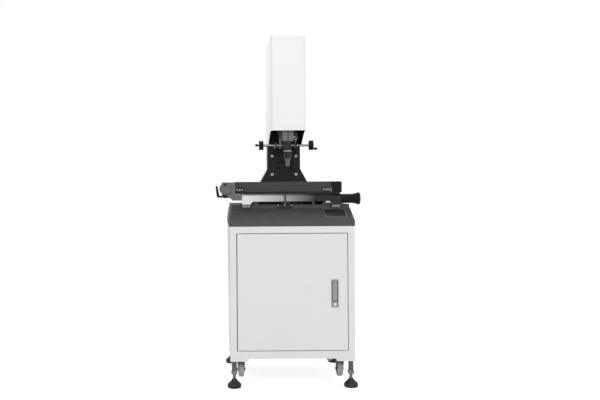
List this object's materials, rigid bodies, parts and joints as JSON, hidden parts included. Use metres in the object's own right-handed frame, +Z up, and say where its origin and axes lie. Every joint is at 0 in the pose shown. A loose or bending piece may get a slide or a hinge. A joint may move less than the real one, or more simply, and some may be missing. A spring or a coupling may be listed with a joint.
{
  "type": "vision measuring machine",
  "caption": "Hand-driven optical measuring machine: zoom camera head on a column, X-Y glass stage on a cast base, lockable steel cabinet on levelling feet and casters.",
  "frame": {"origin": "on the floor under the middle of the cabinet", "axes": "+Z up, +X to the operator's right, +Y away from the operator"},
  "size_m": [0.68, 0.587, 1.663],
  "materials": {
    "cabinet_paint": "smooth semi-gloss off-white enamel",
    "cover_paint": "fine textured white enamel",
    "casting_paint": "matt black textured paint over cast iron",
    "black_anodised": "black anodised, fine brushed",
    "grey_anodised": "grey anodised, satin",
    "steel": "ground and brushed",
    "chrome": "polished",
    "black_plastic": "moulded, satin",
    "foot_rubber": "matt moulded rubber",
    "wheel_nylon": "grey-white nylon",
    "zinc": "zinc plated pressing",
    "glass": "clear polished",
    "belt": "white polyurethane",
    "lens_grey": "dark grey anodised"
  },
  "bodies": {
    "root": {"cabinet_panels": "cabinet_paint", "cabinet_front_frame": "cabinet_paint", "cabinet_top_plate": "cabinet_paint", "leg_and_caster_plates": "cabinet_paint", "foot_lock_nuts": "zinc", "door_pivot_pins": "steel", "base_casting": "casting_paint", "bottom_light_housing": "black_anodised", "bottom_light_lens": "glass", "y_rails_and_drive_bar": "steel", "transport_lock_plate": "casting_paint", "column_casting": "casting_paint", "column_screws": "steel", "head_cover_and_strips": "cover_paint", "z_guide_rail": "steel", "shaft_and_idler_hangers": "black_anodised", "toothed_belt": "belt"},
    "door": {"door_panel": "cabinet_paint", "lock_tray_and_pin": "grey_anodised"},
    "lever": {"lock_lever": "grey_anodised"},
    "cam": {"lock_cam": "zinc"},
    "button": {"lock_button": "chrome"},
    "carriage": {"y_carriage_plate": "black_anodised", "y_carriage_front_bar": "black_anodised", "y_runners": "steel", "x_rails": "steel", "y_drive_bearings": "black_anodised", "transport_lock_strap": "casting_paint"},
    "y_knob": {"y_drive_knob": "black_plastic"},
    "table": {"x_table": "black_anodised", "stage_glass": "glass", "x_table_end_block": "black_plastic", "x_runners": "steel", "x_drive_bracket": "grey_anodised"},
    "x_wheel": {"x_drive_handwheel": "black_plastic", "x_drive_grip": "black_plastic"},
    "release": {"quick_release_lever": "black_plastic"},
    "head": {"lens_clamp": "lens_grey", "zoom_lens_barrel": "lens_grey", "objective_lens": "lens_grey", "camera_body": "black_anodised", "z_slide": "grey_anodised", "head_arm": "grey_anodised"},
    "zoom": {"zoom_ring": "black_anodised"},
    "z_shaft": {"handwheel_shaft": "steel", "handwheels": "black_plastic", "handwheel_grips": "black_plastic"},
    "idler": {"belt_idler": "grey_anodised"},
    "foot_front_left": {"levelling_foot_front_left": "foot_rubber"},
    "fork_front_left": {"caster_fork_front_left": "zinc"},
    "wheel_front_left": {"caster_wheel_front_left": "wheel_nylon"},
    "foot_front_right": {"levelling_foot_front_right": "foot_rubber"},
    "fork_front_right": {"caster_fork_front_right": "zinc"},
    "wheel_front_right": {"caster_wheel_front_right": "wheel_nylon"},
    "foot_rear_left": {"levelling_foot_rear_left": "foot_rubber"},
    "fork_rear_left": {"caster_fork_rear_left": "zinc"},
    "wheel_rear_left": {"caster_wheel_rear_left": "wheel_nylon"},
    "foot_rear_right": {"levelling_foot_rear_right": "foot_rubber"},
    "fork_rear_right": {"caster_fork_rear_right": "zinc"},
    "wheel_rear_right": {"caster_wheel_rear_right": "wheel_nylon"}
  },
  "joints": [
    {"name": "door_hinge", "type": "hinge", "parent": "root", "child": "door", "pos_m": [-0.25, -0.274, 0.43], "axis": [0, 0, -1], "range_deg": [0, 110]},
    {"name": "lock_lever_tilt", "type": "hinge", "parent": "door", "child": "lever", "pos_m": [0.1965, -0.28, 0.481], "axis": [-1, 0, 0], "range_deg": [0, 35]},
    {"name": "lock_cam_turn", "type": "hinge", "parent": "door", "child": "cam", "pos_m": [0.1965, -0.26, 0.4385], "axis": [0, -1, 0], "range_deg": [0, 90]},
    {"name": "lock_button_push", "type": "slide", "parent": "door", "child": "button", "axis": [0, 1, 0], "range_m": [0, 0.003], "stiffness_N_per_m": 800, "springref_m": -0.001},
    {"name": "y_slide", "type": "slide", "parent": "root", "child": "carriage", "axis": [0, 1, 0], "range_m": [-0.075, 0.075]},
    {"name": "y_knob_turn", "type": "hinge", "parent": "carriage", "child": "y_knob", "pos_m": [0.28, -0.2135, 0.877], "axis": [1, 0, 0], "range_deg": [-430, 430]},
    {"name": "x_slide", "type": "slide", "parent": "carriage", "child": "table", "axis": [1, 0, 0], "range_m": [-0.125, 0.125]},
    {"name": "x_wheel_turn", "type": "hinge", "parent": "table", "child": "x_wheel", "pos_m": [-0.309, -0.27, 0.926], "axis": [0, 1, 0], "range_deg": [-717, 717]},
    {"name": "quick_release", "type": "hinge", "parent": "table", "child": "release", "pos_m": [-0.304, -0.26, 0.89], "axis": [0, -1, 0], "range_deg": [0, 35]},
    {"name": "head_slide", "type": "slide", "parent": "root", "child": "head", "axis": [0, 0, 1], "range_m": [-0.045, 0.155]},
    {"name": "zoom_turn", "type": "hinge", "parent": "head", "child": "zoom", "pos_m": [0, -0.085, 1.103], "axis": [0, 0, 1], "range_deg": [-70, 70]},
    {"name": "z_shaft_turn", "type": "hinge", "parent": "root", "child": "z_shaft", "pos_m": [0, -0.028, 1.139], "axis": [1, 0, 0], "range_deg": [-160, 546]},
    {"name": "idler_turn", "type": "hinge", "parent": "root", "child": "idler", "pos_m": [-0.032, -0.028, 1.59], "axis": [1, 0, 0], "range_deg": [-160, 546]},
    {"name": "foot_screw_front_left", "type": "slide", "parent": "root", "child": "foot_front_left", "axis": [0, 0, 1], "range_m": [-0.01, 0.01]},
    {"name": "caster_swivel_front_left", "type": "hinge", "parent": "root", "child": "fork_front_left", "pos_m": [-0.236, -0.165, 0.124], "axis": [0, 0, 1], "continuous": true},
    {"name": "caster_roll_front_left", "type": "hinge", "parent": "fork_front_left", "child": "wheel_front_left", "pos_m": [-0.236, -0.147, 0.06], "axis": [1, 0, 0], "continuous": true},
    {"name": "foot_screw_front_right", "type": "slide", "parent": "root", "child": "foot_front_right", "axis": [0, 0, 1], "range_m": [-0.01, 0.01]},
    {"name": "caster_swivel_front_right", "type": "hinge", "parent": "root", "child": "fork_front_right", "pos_m": [0.236, -0.165, 0.124], "axis": [0, 0, 1], "continuous": true},
    {"name": "caster_roll_front_right", "type": "hinge", "parent": "fork_front_right", "child": "wheel_front_right", "pos_m": [0.236, -0.147, 0.06], "axis": [1, 0, 0], "continuous": true},
    {"name": "foot_screw_rear_left", "type": "slide", "parent": "root", "child": "foot_rear_left", "axis": [0, 0, 1], "range_m": [-0.01, 0.01]},
    {"name": "caster_swivel_rear_left", "type": "hinge", "parent": "root", "child": "fork_rear_left", "pos_m": [-0.236, 0.165, 0.124], "axis": [0, 0, 1], "continuous": true},
    {"name": "caster_roll_rear_left", "type": "hinge", "parent": "fork_rear_left", "child": "wheel_rear_left", "pos_m": [-0.236, 0.183, 0.06], "axis": [1, 0, 0], "continuous": true},
    {"name": "foot_screw_rear_right", "type": "slide", "parent": "root", "child": "foot_rear_right", "axis": [0, 0, 1], "range_m": [-0.01, 0.01]},
    {"name": "caster_swivel_rear_right", "type": "hinge", "parent": "root", "child": "fork_rear_right", "pos_m": [0.236, 0.165, 0.124], "axis": [0, 0, 1], "continuous": true},
    {"name": "caster_roll_rear_right", "type": "hinge", "parent": "fork_rear_right", "child": "wheel_rear_right", "pos_m": [0.236, 0.183, 0.06], "axis": [1, 0, 0], "continuous": true}
  ],
  "couplings": [
    {"joint": "y_knob_turn", "follows": "y_slide", "rad_per_m": -100},
    {"joint": "x_wheel_turn", "follows": "x_slide", "rad_per_m": 100},
    {"joint": "z_shaft_turn", "follows": "head_slide", "rad_per_m": 61.35},
    {"joint": "idler_turn", "follows": "head_slide", "rad_per_m": 61.35}
  ]
}
